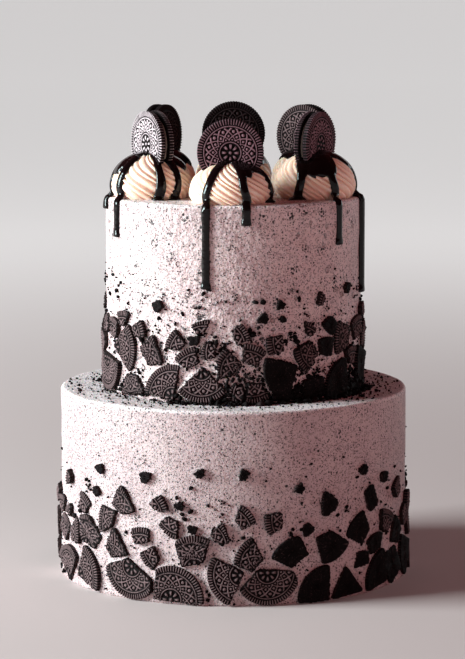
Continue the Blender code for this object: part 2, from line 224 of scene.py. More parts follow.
class Shade:
    """One value in a material: a node's output, on which arithmetic adds Math nodes."""

    def __init__(self, tree, output=None):
        self.tree = tree
        self.output = output

    def node(self, kind, sockets=None, out=0, **settings):
        """Adds a node of this type: first its settings, then its sockets."""
        made = self.tree.nodes.new(kind)
        for name, value in settings.items():
            setattr(made, name, value)
        for key, value in (sockets or {}).items():
            if isinstance(value, Shade):
                self.tree.links.new(value.output, made.inputs[key])
            else:
                made.inputs[key].default_value = value
        return Shade(self.tree, made.outputs[out])

    def other(self, out):
        """Another output of the same node."""
        return Shade(self.tree, self.output.node.outputs[out])

    def maths(self, operation, first, second):
        """This operation on two values, either of which may be a plain number."""
        return self.node("ShaderNodeMath", {0: first, 1: second}, operation=operation)

    def __add__(self, other):
        return self.maths("ADD", self, other)

    def __radd__(self, other):
        return self.maths("ADD", other, self)

    def __sub__(self, other):
        return self.maths("SUBTRACT", self, other)

    def __rsub__(self, other):
        return self.maths("SUBTRACT", other, self)

    def __mul__(self, other):
        return self.maths("MULTIPLY", self, other)

    def __rmul__(self, other):
        return self.maths("MULTIPLY", other, self)

    def larger(self, other):
        """Whichever of the two is larger."""
        return self.maths("MAXIMUM", self, other)

    def step(self, low, high):
        """0 below low, 1 above high, and a smooth rise between."""
        sockets = {0: self, 1: low, 2: high}
        return self.node("ShaderNodeMapRange", sockets, interpolation_type="SMOOTHSTEP")

    def between(self, first, second):
        """The colour this share of the way from the first to the second."""
        colours = {
            key: (*value, 1.0) if isinstance(value, tuple) else value
            for key, value in ((6, first), (7, second))
        }
        return self.node("ShaderNodeMix", {0: self, **colours}, out=2, data_type="RGBA")

    def noise(self, size, detail=2.0):
        """Cloudy variation about 0.5 with features of this size in millimetres."""
        sockets = {"Vector": self, "Scale": 1 / (size * MM), "Detail": detail}
        return self.node("ShaderNodeTexNoise", sockets)

    def stretched(self, across, up):
        """The place scaled by these factors across and up, to draw a pattern out."""
        scale = (across, across, up)
        return self.node("ShaderNodeMapping", {"Vector": self, "Scale": scale})

    def jittered(self, size, amount):
        """The place moved about by noise, both in millimetres, so that round spots look torn."""
        cloud = self.noise(size).other("Color")
        centred = self.node("ShaderNodeVectorMath", {0: cloud, 1: (0.5, 0.5, 0.5)}, operation="SUBTRACT")
        moved = self.node("ShaderNodeVectorMath", {0: centred, 1: (amount * MM,) * 3}, operation="MULTIPLY")
        return self.node("ShaderNodeVectorMath", {0: self, 1: moved}, operation="ADD")

    def specks(self, cell, size, soft=0.05):
        """A mask of spots: one in each Voronoi cell of this size in millimetres, about the
        cell's own point, with a radius from nothing up to this share of the cell."""
        sockets = {"Vector": self, "Scale": 1 / (cell * MM)}
        distance = self.node("ShaderNodeTexVoronoi", sockets, out="Distance")
        chance = self.node("ShaderNodeSeparateColor", {0: distance.other("Color")})
        return (chance * size - distance).step(0.0, soft)

    def attribute(self, name):
        """A value that the mesh holds for each of its points."""
        return self.node("ShaderNodeAttribute", out="Fac", attribute_name=name)


def finish_of(name, **fixed):
    """A new material with these sockets of its shader set, a bare value of its tree from which
    nodes are added, and the place on the object."""
    made = bpy.data.materials.new(name)
    made.use_nodes = True
    shader = made.node_tree.nodes["Principled BSDF"]
    for socket, value in fixed.items():
        shader.inputs[socket.replace("_", " ")].default_value = value
    start = Shade(made.node_tree)
    return made, start, start.node("ShaderNodeTexCoord", out="Object")


def feed(material, **values):
    """Links values to the shader's sockets, a height going through a Bump node."""
    tree = material.node_tree
    shader = tree.nodes["Principled BSDF"]
    for socket, value in values.items():
        if socket == "Height":
            value = value.node("ShaderNodeBump", {"Height": value, "Distance": MM}, out="Normal")
            socket = "Normal"
        tree.links.new(value.output, shader.inputs[socket.replace("_", " ")])


def shell(grid):
    """Points and faces of a closed surface over a grid of rings: each quad joins two neighbours
    on a ring to the two on the next, and a fan to each end ring's mean closes the ends."""
    rows, columns = grid.shape[:2]
    index = np.arange(rows * columns).reshape(rows, columns)
    low, high = index[:-1], index[1:]
    quads = np.stack([low, np.roll(low, -1, 1), np.roll(high, -1, 1), high], -1).reshape(-1, 4)
    ends = np.full(columns, rows * columns)
    first = np.stack([np.roll(index[0], -1), index[0], ends], -1)
    last = np.stack([index[-1], np.roll(index[-1], -1), ends + 1], -1)
    points = np.concatenate([grid.reshape(-1, 3), grid[0].mean(0)[None], grid[-1].mean(0)[None]])
    return points, quads, np.concatenate([first, last])


def over_shell(values):
    """A value for each point of a shell, from its value over the grid."""
    return np.concatenate([values.ravel(), [values[0].mean(), values[-1].mean()]])


def added(name, data):
    """A new object in the scene that holds this mesh, light or camera."""
    holder = bpy.data.objects.new(name, data)
    bpy.context.scene.collection.objects.link(holder)
    return holder


def make(name, shells, material, **attributes):
    """A mesh object of closed shells in millimetres, each turned so that its volume, a sixth of
    the sum of the triple products of its triangles' corners, is positive: faces point out."""
    points, loops, sizes, count = [], [], [], 0
    for corners, quads, fans in shells:
        triangles = np.concatenate([quads[:, :3], quads[:, [0, 2, 3]], fans])
        if np.linalg.det(corners[triangles] - corners.mean(0)).sum() < 0:
            quads, fans = quads[:, ::-1], fans[:, ::-1]
        loops += [(quads + count).ravel(), (fans + count).ravel()]
        sizes += [np.full(len(quads), 4), np.full(len(fans), 3)]
        points.append(corners)
        count += len(corners)
    loops, sizes = np.concatenate(loops), np.concatenate(sizes)
    mesh = bpy.data.meshes.new(name)
    mesh.vertices.add(count)
    mesh.vertices.foreach_set("co", (np.concatenate(points) * MM).ravel())
    mesh.loops.add(len(loops))
    mesh.loops.foreach_set("vertex_index", loops)
    mesh.polygons.add(len(sizes))
    mesh.polygons.foreach_set("loop_start", np.concatenate([[0], np.cumsum(sizes)[:-1]]))
    mesh.update(calc_edges=True)
    mesh.shade_smooth()
    for title, values in attributes.items():
        made = mesh.attributes.new(title, "FLOAT", "POINT")
        made.data.foreach_set("value", np.asarray(values, np.float32))
    mesh.materials.append(material)
    piece = added(name, mesh)
    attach(piece, "root")
    return piece


def across(azimuth):
    """Unit vectors out of the cake, sideways along its side, and up, at an azimuth."""
    a = math.radians(azimuth)
    outward = np.array([math.sin(a), -math.cos(a), 0.0])
    sideways = np.array([math.cos(a), math.sin(a), 0.0])
    return outward, sideways, np.array([0.0, 0.0, 1.0])


MOST_TIMES = 26
FADING_TIMES = 9


def waves(rng, turn, along, count, shortest):
    """Unevenness between about -1 and 1: a sum of sines, each going a whole number of times
    round and some way along, in millimetres, the finer ones shallower."""
    total = np.zeros(np.broadcast(turn, along).shape)
    for _ in range(count):
        times = rng.integers(1, MOST_TIMES)
        length = rng.uniform(shortest, 5 * shortest)
        phase = rng.uniform(0, 2 * math.pi)
        total += np.sin(times * turn + 2 * math.pi * along / length + phase) / (1 + times / FADING_TIMES)
    return total / math.sqrt(count)


def squeezed_up(turn, above, radius, pieces):
    """How far frosting stands proud round pressed pieces: a lip that falls off as a bell curve
    of the distance outside a piece's outline, higher where its flat back leaves the round side."""
    proud = np.zeros(turn.shape)
    for azimuth, height, _, _, _, outline, large in pieces:
        aside = (turn - math.radians(azimuth) + math.pi) % (2 * math.pi) - math.pi
        x, y = aside * radius, above - height
        near = (np.abs(x) < PIECE_REACH) & (np.abs(y) < PIECE_REACH)
        spot = gridded(x[near], y[near])
        edges = np.roll(outline, -1, 0) - outline
        normals = gridded(edges[:, 1], -edges[:, 0])
        normals /= np.linalg.norm(normals, axis=1, keepdims=True)
        outside = (spot @ normals.T - (outline * normals).sum(1)).max(1)
        lip_share, gap_share = LARGE_LIP if large else CHIP_LIP
        gap = x[near] ** 2 / (2 * radius) * gap_share
        bell = np.exp(-(np.maximum(outside - LIP_START, 0) / LIP_WIDTH) ** 2)
        proud[near] = np.maximum(proud[near], (LIP_HEIGHT * lip_share + gap) * bell)
    return proud


def frosted_tier(name, node, radius, base, height, top_inner, pieces, material, seed):
    """A tier's frosting: a profile of side, rounded edge and top, carried round the axis, and
    moved out by the waves of the scraper and by what the pressed pieces squeeze up."""
    rng = np.random.default_rng(seed)
    columns = int(2 * math.pi * radius / SIDE_STEP)
    turn = round_turn(columns)
    side = np.linspace(0, height - EDGE_ROUND, int(height / SIDE_STEP))
    bend = np.linspace(0, math.pi / 2, BEND_STEPS)[1:]
    inward = np.linspace(radius - EDGE_ROUND, top_inner, int((radius - top_inner) / TOP_STEP))[1:]
    out = np.concatenate([np.full(len(side), radius), radius - EDGE_ROUND * (1 - np.cos(bend)), inward])
    up = np.concatenate([side, height - EDGE_ROUND * (1 - np.sin(bend)), np.full(len(inward), height)])
    facing = np.concatenate([np.zeros(len(side)), bend, np.full(len(inward), math.pi / 2)])
    out, up, facing = out[:, None], up[:, None], facing[:, None]
    length = np.concatenate([[0], np.cumsum(np.hypot(np.diff(out[:, 0]), np.diff(up[:, 0])))])[:, None]
    uneven = WAVE_DEPTH * waves(rng, turn, length, SCRAPER_WAVES, WAVE_LENGTH) - WAVE_INSET
    uneven = uneven * np.minimum(1, up / CALM_FOOT)
    proud = squeezed_up(turn + 0 * up, up + 0 * turn, radius, pieces) * (facing == 0)
    rise = uneven + proud
    out = out + rise * np.cos(facing)
    up = up + rise * np.sin(facing) * TOP_RISE
    grid = gridded(out * np.sin(turn), -out * np.cos(turn), base + up)
    # How far each point faces up, which paints light on a top and sets the dust there
    flat = np.sin(facing) + 0 * turn
    foot = np.clip(DUSTY_FOOT - up / CRUMB_BAND, 0, 1)
    dusty = np.where(flat > 0, DUSTY_TOP * flat, foot) + DUSTY_LIP * proud
    piece = make(name, [shell(grid)], material, dusty=over_shell(dusty), flat=over_shell(flat))
    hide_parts(node)
    return piece


def frosting_finish(name, thin, thick, dustiness, pits):
    """Buttercream: a mauve-white that clouds between two colours, mixed paler where it faces up as
    painted light on a top, a faint blush, dark cookie dust of four sizes, and a dull sheen with scraper
    marks. Where it is pitted, it also has soft lumps, torn bubbles darkened as painted shade, and
    clumps of crumbs."""
    material, start, place = finish_of(name, Subsurface_Weight=0.1, Subsurface_Scale=0.003)
    torn = place.jittered(0.8, 0.8)
    cloud = place.noise(38, 3.0).step(0.3, 0.7)
    # Painted light: a top is mixed towards a paler colour as far as it faces up
    cream = start.attribute("flat").between(cloud.between(thin, thick), PAINTED_TOP_LIGHT)
    blush = torn.specks(1.5, 0.75, 0.35) * 0.36
    fine = torn.specks(0.9, 0.6, 0.14) * 0.78
    middling = torn.specks(1.9, 0.42, 0.1) * 0.94
    coarse = torn.specks(7.0, 0.17)
    patch = start.attribute("dusty") * place.noise(10, 3.0).step(0.42, 0.62) * dustiness
    dust = torn.specks(1.5, 0.6, 0.15) * patch
    dark = blush.larger(fine).larger(middling).larger(coarse).larger(dust)
    grain = place.noise(0.5, 2.0) * 0.06 + place.noise(1.8, 3.0) * 0.45
    marks = place.stretched(0.25, 1.0).noise(3.0, 3.0) * 0.22
    height = grain + marks - dark * 0.08
    if pits:
        clumps = place.jittered(4.0, 3.0).specks(10.0, 0.5, 0.12) * torn.specks(1.5, 1.0, 0.2)
        bubbles = place.jittered(2.0, 1.2).specks(9.0, 0.26, 0.07)
        height = height + place.noise(4.5, 2.0) * 1.3 - bubbles * 3.0
        # Painted shade: each bubble's pit is also darkened a little towards the dust colour
        dark = dark.larger(bubbles * 0.3).larger(clumps)
    feed(material, Base_Color=dark.between(cream, COOKIE_DUST), Height=height)
    feed(material, Roughness=0.52 + place.noise(5, 2.0) * 0.16)
    return material


lower_pieces = lay_out(LOWER_ROW, LOWER_CHIPS, SEED)
upper_pieces = lay_out(UPPER_ROW, UPPER_CHIPS, SEED + 1)
scraped_smooth = frosting_finish("scraped_frosting", *SHADED_LOWER_CREAM, 0.4, False)
scraped_pitted = frosting_finish("pitted_frosting", *UPPER_CREAM, 1.0, True)
frosted_tier("lower_frosting", "lower_tier", LOWER_RADIUS, 0.0, LOWER_HEIGHT, LOWER_FAN,
    lower_pieces, scraped_smooth, 21)
frosted_tier("upper_frosting", "upper_tier", UPPER_RADIUS, LOWER_HEIGHT, UPPER_HEIGHT + CLEAR, UPPER_FAN,
    upper_pieces, scraped_pitted, 22)


# The broken wafers
# Embossed chocolate biscuit, dry and matt. A snap leaves a crumbly, paler-edged break with worn
# corners, and the rim keeps its teeth. Each is pushed flat into the wet frosting, and in one arc on
# the shaded right, and the one across from it, most lie with their smooth inner side out, as the
# smallest chips do everywhere; there this flat dark is also painted shade.

WAFER_THICK = 3.6
CHIP_THICK = 3.8
PIECE_BURIED = 2.0
EMBOSS_DEPTH = 0.8
EDGE_DROP = 0.3
RIM_TEETH = 72
TEETH_FROM = 18.7
TOOTH_DEPTH = 0.38
RIM_RING = 17.5
INNER_RING = 7.1
LATTICE_FROM = 8.2
LATTICE_TO = 16.5
LATTICE_ARMS = 13
PETALS = 8
PETAL_MIDDLE = 4.1
PETAL_HALF = 2.2
BUTTON = 1.6
# The arc on the shaded right, and the one across from it, where large ones lie plain side out, a flat
# dark that is also painted shade, the share of the chips there that do, and the size up to which every chip
# does
SHADE_PLAIN_FROM = 15
SHADE_PLAIN_TO = 76
SHADE_PLAIN_CHIPS = 0.6
SMALL_CHIP = 10.5
PLAIN_RELIEF = 0.25
PLAIN_GRIT = 0.2
CORNER_WEAR = 7
BREAK_WAVES = 22
BREAK_DEPTH = 0.26
BREAK_GRIT = 0.07
BREAK_INSET = 0.25
# Rings down the edge: share of the thickness, and how far in the edge is drawn
EDGE_RINGS = ((0.74, 0.16), (0.42, 0.0), (0.1, 0.1))
CRUMBLY = 0.16
CRUMBLY_OUT = 0.22
BACK_INSET = 0.3
# How high the pattern counts as standing: low enough in a break to take the break's colour
BROKEN_TOP = 0.1
BROKEN_SIDE = -0.6
TOOTHED_SIDE = 0.7
PIECE_TILT = 0.045
CHIP_TILT = 0.1
LARGE_RINGS = 26
CHIP_RINGS = 9
POINTS_PER_MM = 2.1
FINE_RIM_SIDES = 64


def hump(value, width):
    """A rounded ridge where the value passes zero: 1 there, and 0 beyond the width."""
    return np.clip(1 - (value / width) ** 2, 0, 1)


def emboss(x, y):
    """How high the baked pattern stands, from 0 to 1, at a place on a wafer: teeth round the rim
    from the cosine of the turn, two rings, a lattice between them where two sets of spirals
    cross with a bead in each mesh, and a rosette of eight petals in the middle."""
    r, turn = np.hypot(x, y), np.arctan2(y, x)
    teeth = np.clip(0.5 + 0.9 * np.cos(RIM_TEETH * turn), 0, 1) * (r > TEETH_FROM)
    rings = np.maximum(hump(r - RIM_RING, 0.7), hump(r - INNER_RING, 0.65))
    spiral = LATTICE_ARMS * np.log(np.maximum(r, 1.0))
    one, two = LATTICE_ARMS * turn + spiral, LATTICE_ARMS * turn - spiral
    lattice = np.clip(np.maximum(np.cos(one), np.cos(two)) * 3.2 - 1.9, 0, 1)
    bead = np.clip((-np.cos(one) - np.cos(two) - 0.95) * 3, 0, 1)
    belt = np.maximum(lattice, bead) * (r > LATTICE_FROM) * (r < LATTICE_TO)
    petal = hump(r - PETAL_MIDDLE, PETAL_HALF) * np.clip(np.cos(PETALS * turn) * 2.6 + 0.1, 0, 1)
    return np.maximum.reduce([teeth, rings, belt, petal, hump(r, BUTTON)])


def smoothed(values, times):
    """Values on a ring, each averaged so many times with its two neighbours."""
    for _ in range(times):
        values = (np.roll(values, -1) + 2 * values + np.roll(values, 1)) / 4
    return values


def baked_wafer(rng, lines, turn, centre, columns, ring_count, thickness, buried, plain=False):
    """A wafer's closed shell as (sideways, up, out) and how high its pattern stands. Rings go
    out from its middle: at each turn the edge is where the ray meets the nearest break line or
    the rim circle, averaged with its neighbours so that corners are worn, and roughened along
    breaks. The shell then goes back over the edge and behind. A plain one has its smooth inner
    side out."""
    angles = [(math.radians(direction + turn), distance) for direction, distance in lines]
    normals = np.array([[math.cos(a), math.sin(a)] for a, _ in angles]).reshape(-1, 2)
    limits = np.array([distance for _, distance in angles])
    middle = middle_of(lines, turn) if lines else np.zeros(2)
    ray_turn = round_turn(columns)
    ray = gridded(np.cos(ray_turn), np.sin(ray_turn))
    along = ray @ middle
    rim = -along + np.sqrt(along**2 - middle @ middle + WAFER_RADIUS**2)
    reach, broken = rim, np.zeros(columns, bool)
    if lines:
        closing = ray @ normals.T
        to_line = np.full(closing.shape, np.inf)
        np.divide(limits - normals @ middle, closing, out=to_line, where=closing > 0)
        reach = smoothed(np.minimum(rim, to_line.min(1)), CORNER_WEAR)
        broken = to_line.min(1) < rim
    rough = np.zeros(columns)
    for times in rng.integers(4, columns // 5, BREAK_WAVES):
        rough += np.sin(times * ray_turn + rng.uniform(0, 6.3)) / (2 + times / FADING_TIMES)
    rough = rough * BREAK_DEPTH + rng.normal(0, BREAK_GRIT, columns)
    edge = middle + ray * reach[:, None]
    tooth = np.clip(0.5 + 0.75 * np.cos(RIM_TEETH * np.arctan2(edge[:, 1], edge[:, 0])), 0, 1)
    reach = reach + np.where(broken, rough - BREAK_INSET, TOOTH_DEPTH * (tooth - 1))
    shares = np.linspace(1 / ring_count, 1, ring_count)[:, None]
    face = middle + (shares * reach)[..., None] * ray
    pattern = emboss(face[..., 0], face[..., 1])
    if plain:
        pattern = PLAIN_RELIEF + PLAIN_GRIT * rng.normal(0, 1, pattern.shape)
    lift = thickness - EMBOSS_DEPTH * (1 - pattern)
    lift[-1] -= EDGE_DROP
    pattern[-1] = np.where(broken, BROKEN_TOP, pattern[-1])
    rings, lifts, patterns = [face], [lift], [pattern]
    crumbly = rng.normal(0, CRUMBLY, (len(EDGE_RINGS), columns))
    for row, (level, draw) in enumerate(EDGE_RINGS):
        wide = reach - draw + np.where(broken, crumbly[row] + CRUMBLY_OUT, 0)
        rings.append((middle + ray * wide[:, None])[None])
        lifts.append(np.full((1, columns), level * thickness))
        patterns.append(np.where(broken, BROKEN_SIDE, tooth * TOOTHED_SIDE)[None])
    rings.append((middle + ray * (reach - BACK_INSET)[:, None])[None])
    lifts.append(np.full((1, columns), -buried))
    patterns.append(np.zeros((1, columns)))
    flat, lifts = np.concatenate(rings), np.concatenate(lifts)
    moved = flat + (centre if lines else 0)
    return np.concatenate([moved, lifts[..., None]], -1), np.concatenate(patterns)


def middle_of(lines, turn):
    """The centre of area of a snapped wafer, measured from the whole wafer's centre."""
    outline, centre = snapped(lines, FINE_RIM_SIDES, turn)
    nxt = np.roll(outline, -1, 0)
    doubled = outline[:, 0] * nxt[:, 1] - nxt[:, 0] * outline[:, 1]
    return ((outline + nxt) * doubled[:, None]).sum(0) / (3 * doubled.sum()) - centre


def pressed(grid, radius, azimuth, level, sink):
    """Points of a wafer piece set square to a tier's side and tilted, so that some of it is
    sunk deeper and none stands further out."""
    outward, sideways, up = across(azimuth)
    x, y, out = grid[..., :1], grid[..., 1:2], grid[..., 2:]
    tilt = x * sink[0] + y * sink[1]
    out = out + np.where(out > 0, tilt - np.abs(grid[..., :2] * sink).max((0, 1)).sum(), 0)
    return outward * (radius + out) + sideways * x + up * (level + y)


def wafer_finish(name, crest):
    """Baked chocolate wafer: near-black in the pattern's hollows as painted shade and the crest's colour
    where it stands up as painted light, with crumbly breaks, fine pores and traces of frosting dust."""
    material, start, place = finish_of(name, Specular_IOR_Level=0.07)
    stands = start.attribute("relief")
    worn = place.noise(4.5, 4.0)
    # Painted light and shade: the relief, broken up by noise, lights the crests and darkens the hollows
    face = (stands * 1.3 + worn * 0.6 - 0.76).step(0.0, 1.0)
    baked = face.between((0.004, 0.0018, 0.002), crest)
    crumb = place.jittered(0.6, 0.5).noise(0.8, 3.0).step(0.35, 0.75)
    broken = crumb.between((0.006, 0.003, 0.003), (0.055, 0.03, 0.029))
    bare = (0 - stands).step(0.1, 0.4)
    colour = bare.between(baked, broken)
    dust = place.jittered(0.6, 0.5).specks(1.7, 0.22) * place.noise(7, 2.0).step(0.5, 0.75) * 0.5
    feed(material, Base_Color=dust.between(colour, (0.34, 0.27, 0.27)))
    pores = place.noise(0.35, 3.0) * 0.16 + place.noise(1.4, 2.0) * 0.12
    feed(material, Height=pores, Roughness=0.5 + worn * 0.3)
    return material


baked = wafer_finish("baked_wafer", (0.165, 0.102, 0.105))


def press_in(tier, radius, base, pieces, seed):
    """Sets a tier's wafers, none below its foot: each large one stands for its own node, and
    the chips, which are fused to the tier's node, are one piece."""
    rng = np.random.default_rng(seed)
    chips, chip_relief, number = [], [], 0
    for azimuth, height, lines, turn, centre, outline, large in pieces:
        rim = np.linalg.norm(np.roll(outline, -1, 0) - outline, axis=1).sum()
        columns = int(rim * POINTS_PER_MM)
        thick = CLEAR + WAFER_THICK if large else CHIP_THICK
        rings = LARGE_RINGS if large else CHIP_RINGS
        # Painted shade: pieces in the shaded arc lie plain side out, so they show only the dark
        plain = SHADE_PLAIN_FROM < azimuth % 180 < SHADE_PLAIN_TO
        if not large:
            plain = (plain and rng.uniform() < SHADE_PLAIN_CHIPS) or np.ptp(outline, 0).max() < SMALL_CHIP
        grid, relief = baked_wafer(rng, lines, turn, centre, columns, rings, thick, PIECE_BURIED, plain)
        sink = rng.uniform(-1, 1, 2) * (PIECE_TILT if large else CHIP_TILT)
        set_in = pressed(grid, radius, azimuth, base + height, sink)
        set_in[..., 2] = np.maximum(set_in[..., 2], base)
        points = shell(set_in)
        if not large:
            chips.append(points)
            chip_relief.append(over_shell(relief))
            continue
        number += 1
        node = f"{tier}_piece_{number:02d}"
        piece = make(f"{node}_wafer", [points], baked, relief=over_shell(relief))
        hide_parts(node)
    piece = make(f"{tier}_chips", chips, baked, relief=np.concatenate(chip_relief))


press_in("lower", LOWER_RADIUS, 0.0, lower_pieces, 31)
press_in("upper", UPPER_RADIUS, UPPER_BASE, upper_pieces, 32)


# Crumbs
# Bits of crushed wafer a few millimetres across and dust from the same bag. They stick in the
# frosting among and above the chips, ever smaller, and lie on the lower tier round the upper
# one's foot.

CRUMB_RINGS = 4
CRUMB_COLUMNS = 6
CRUMB_POINTS = CRUMB_RINGS * CRUMB_COLUMNS + 2
END_LATITUDE = 1.2
LATITUDE_WOBBLE = 0.12
LONGITUDE_WOBBLE = 0.15
BOXY = 0.7
STRETCH = (0.5, 1.25)
DENTS = (0.8, 1.12)
CLUMP_SPREAD = 1.7
THINNING = 1.5
LEAST_ABOVE = 0.85
MOST_PROUD = 0.28
LEDGE_FROM = 1.5
LEDGE_THINNING = 1.9
LEDGE_LIFT = 0.15
# A few crumbs on the ledge are larger: which share of them, and by how much
LARGER_SHARE = 0.12
LARGER_BY = 1.7


def crumb_shells(rng, spots, sizes):
    """A nugget at each spot: a sphere of a few faces pushed towards a box by raising its sines
    and cosines to a power below one, stretched, dented and turned at random."""
    count = len(spots)
    grid = (count, CRUMB_RINGS, CRUMB_COLUMNS)
    lat = np.linspace(-END_LATITUDE, END_LATITUDE, CRUMB_RINGS)[:, None]
    lat = lat + rng.normal(0, LATITUDE_WOBBLE, grid)
    lon = round_turn(CRUMB_COLUMNS) + rng.normal(0, LONGITUDE_WOBBLE, grid)
    ball = gridded(np.cos(lat) * np.cos(lon), np.cos(lat) * np.sin(lon), np.sin(lat))
    boxy = np.sign(ball) * np.abs(ball) ** BOXY
    stretch = rng.uniform(*STRETCH, (count, 1, 1, 3)) * rng.uniform(*DENTS, (*grid, 1))
    turning, _ = np.linalg.qr(rng.normal(size=(count, 3, 3)))
    nuggets = np.einsum("nrcj,nij->nrci", boxy * stretch * sizes[:, None, None, None] / 2, turning)
    return [shell(nugget + spot) for nugget, spot in zip(nuggets, spots)]


def sprinkled(rng, count, radius, base, band, sizes, arc=(-90, 90), clump=1):
    """Spots on a tier's side, over an arc of azimuths and the one across from it, in clumps of
    so many, and their sizes. Heights thin out upwards as a power of a uniform draw, and crumbs
    are smaller the higher they are."""
    loose = rng.normal(0, CLUMP_SPREAD, (2, count, clump))
    turn = rng.uniform(*arc, (count, 1)) + 180 * rng.integers(0, 2, (count, 1))
    azimuth = (np.radians(turn) + loose[0] / radius).ravel()
    share = rng.uniform(0, 1, (count, 1)) ** THINNING
    height = (band[0] + (band[1] - band[0]) * share + loose[1]).ravel()
    small = (1 - share) * rng.uniform(0.2, 1.0, (count, clump)) ** 2
    size = (sizes[0] + (sizes[1] - sizes[0]) * small).ravel()
    height = np.maximum(height, LEAST_ABOVE * size)
    out = radius + size * rng.uniform(0.0, MOST_PROUD, count * clump)
    return gridded(out * np.sin(azimuth), -out * np.cos(azimuth), base + height), size


def crumbs_piece(name, rng, shells, palest):
    """One piece of crumbs, each with a relief, and so a paleness, of its own."""
    relief = rng.uniform(0.0, palest, len(shells)).repeat(CRUMB_POINTS)
    piece = make(name, shells, baked, relief=relief)


def scattered_crumbs(name, groups, seed):
    """Crumbs on a tier's side. For each group: how many clumps, at which radius, the height of
    the tier's foot, between which heights over it, between which sizes, and where it differs,
    the arc and the number to a clump."""
    rng = np.random.default_rng(seed)
    shells = []
    for group in groups:
        spots, sizes = sprinkled(rng, *group)
        shells += crumb_shells(rng, spots, sizes)
    crumbs_piece(name, rng, shells, 0.45)


scattered_crumbs("lower_crumbs", [
    (130, LOWER_RADIUS, 0.0, (44, 98), (1.6, 5.2)),
    (480, LOWER_RADIUS, 0.0, (12, 104), (0.9, 1.9)),
    (22, LOWER_RADIUS, 0.0, (36, 96), (0.9, 3.0), (-90, 90), 6),
    (190, LOWER_RADIUS, 0.0, (0.8, 40), (1.4, 4.0)),
], 41)
scattered_crumbs("upper_crumbs", [
    (170, UPPER_RADIUS, UPPER_BASE, (34, 84), (1.7, 5.2)),
    (850, UPPER_RADIUS, UPPER_BASE, (10, 86), (0.9, 2.4)),
    (62, UPPER_RADIUS, UPPER_BASE, (30, 76), (0.9, 3.6), (-90, 90), 8),
    (420, UPPER_RADIUS, UPPER_BASE, (0.8, 44), (1.4, 4.6)),
    (500, UPPER_RADIUS + 0.6, UPPER_BASE, (0.6, 9), (1.8, 5.0)),
    (1600, UPPER_RADIUS + 0.5, UPPER_BASE, (0.6, 24), (1.5, 5.6), (-8, 80)),
    (50, UPPER_RADIUS, UPPER_BASE, (36, 78), (2.8, 7.5)),
], 42)


def ledge_crumbs(groups, seed):
    """Crumbs on the lower tier's top, thinning out from the upper tier's foot. For each group:
    how many, over which arc of azimuths, how far out, and between which sizes."""
    rng = np.random.default_rng(seed)
    shells = []
    for count, arc, spread, sizes in groups:
        azimuth = np.radians(rng.uniform(*arc, count))
        out = UPPER_RADIUS + LEDGE_FROM + spread * rng.uniform(0, 1, count) ** LEDGE_THINNING
        size = rng.uniform(*sizes, count)
        size = size * np.where(rng.uniform(0, 1, count) < LARGER_SHARE, LARGER_BY, 1.0)
        level = LOWER_HEIGHT + LEDGE_LIFT * size
        spots = gridded(out * np.sin(azimuth), -out * np.cos(azimuth), level)
        shells += crumb_shells(rng, spots, size)
    crumbs_piece("ledge_crumbs", rng, shells, 0.5)


ledge_crumbs([
    (900, (-180, 180), 26, (0.5, 1.7)),
    (420, (-28, 86), 7, (1.3, 3.0)),
    (420, (152, 266), 7, (1.3, 3.0)),
], 43)


# The piped swirls
# Six mounds of whipped cream in an ivory that turns peach in shade, each squeezed from an open
# star tip in one twist, so that rounded ridges wind down it with a crease between each two.

# For each: azimuth, distance from the cake's axis, radius and height, the azimuth that its cookie
# faces, and how high that cookie's centre is over the cake
SWIRLS = [
    (-2, 59.0, 28.0, 27, 0, 33.0),
    (70, 58.5, 28.0, 31, 62, 35.5),
    (123, 60.0, 24.5, 29, 143, 37.5),
    (180, 60.0, 27.0, 29, 182, 38.0),
    (-123, 60.0, 24.5, 29, -118, 37.5),
    (-70, 58.5, 28.0, 30, -60, 36.0),
]
SWIRL_RIDGES = 25
SWIRL_TWIST = 1.75
RIDGE_DEPTH = 0.058
RIDGE_ROUND = 1.1
RIDGE_RISE = 0.5
RIDGE_SAMPLES = 9
SWIRL_ROWS = 72
ROWS_TO_TIP = 1.25
TIP_SHARE = 0.985
FOOT_TUCK = 0.12
FOOT_SHARE = 0.26
DOME_POWERS = (3.2, 0.62)
LIFT_LEAN = 1.2
# How unevenly it is piped: the ridges' wander and fullness, and the mound's own waves in mm
WIDE_DRIFT = 0.9
FINE_DRIFT = 0.5
SWAY = 0.05
FULLNESS = 0.35
LUMPS = 0.45
PIPING_SEED = 50


def place(points, azimuth, distance, facing, height):
    """Points about a cookie's or a swirl's own centre, as (sideways, towards its face, up),
    turned to face an azimuth and moved to a spot on the cake."""
    outward, _, up = across(azimuth)
    face, side, _ = across(facing)
    spot = outward * distance + up * height
    return spot + points[..., :1] * side + points[..., 1:2] * face + points[..., 2:] * up


def outline_share(share):
    """A swirl's radius as a share of its widest, at a share of its height: nearly upright at the
    foot, which tucks in a little, and closing to the tip like a dome."""
    foot = 1 - FOOT_TUCK + FOOT_TUCK * np.sin(np.minimum(share / FOOT_SHARE, 1) * math.pi / 2)
    return foot * np.clip(1 - share ** DOME_POWERS[0], 0, 1) ** DOME_POWERS[1]


def on_swirl(swirl, direction, share, lift):
    """Points over a swirl's smooth outline in a direction from its own centre, in radians from
    the front, at a share of its height, standing off it by this lift."""
    azimuth, distance, radius, height, _, _ = swirl
    over_ridges = radius * (1 - 0.3 * RIDGE_DEPTH) * outline_share(share)
    reach = over_ridges + lift * np.cos(share * LIFT_LEAN)
    up = share * height + lift * np.sin(share * LIFT_LEAN)
    local = gridded(reach * np.sin(direction), reach * np.cos(direction), up)
    return place(local, azimuth, distance, 0, CAKE_TOP)


